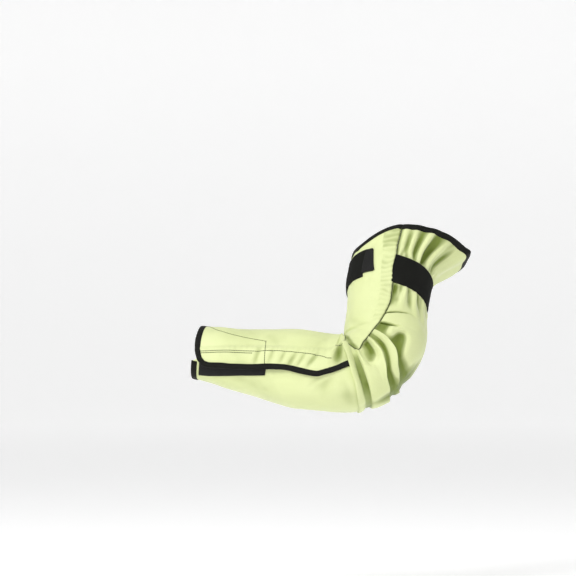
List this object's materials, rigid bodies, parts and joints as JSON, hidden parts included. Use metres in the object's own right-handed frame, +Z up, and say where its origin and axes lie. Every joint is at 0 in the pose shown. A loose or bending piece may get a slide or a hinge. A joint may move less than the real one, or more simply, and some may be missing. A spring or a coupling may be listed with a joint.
{
  "type": "cut resistant sleeve",
  "caption": "Long wrap-over arm sleeve of bright cloth with a gathered elbow, hook strip at the wrist, elastic arm band and flared bound top.",
  "frame": {"origin": "middle of the arm hole inside the elastic arm band, on the axis of the upper arm", "axes": "+Z up, -X from the elbow towards the wrist, -Y the outer side of the arm; the upper arm leans towards +Y"},
  "size_m": [0.3917, 0.2186, 0.2646],
  "materials": {
    "cloth": "smooth bright yellow-green cloth with a soft satin sheen",
    "tape": "matt black woven binding tape",
    "elastic": "matt black ribbed elastic webbing",
    "hook": "dull black hook and loop tape"
  },
  "bodies": {
    "root": {"elbow_panel": "cloth", "back_panel": "cloth", "front_panel": "cloth", "wrap_panel": "cloth", "under_panel": "cloth", "top_binding": "tape", "wrap_binding": "tape", "under_wrist_binding": "tape", "wrist_hook_strip": "hook", "arm_band": "elastic", "band_hook_tab": "hook"}
  },
  "joints": []
}
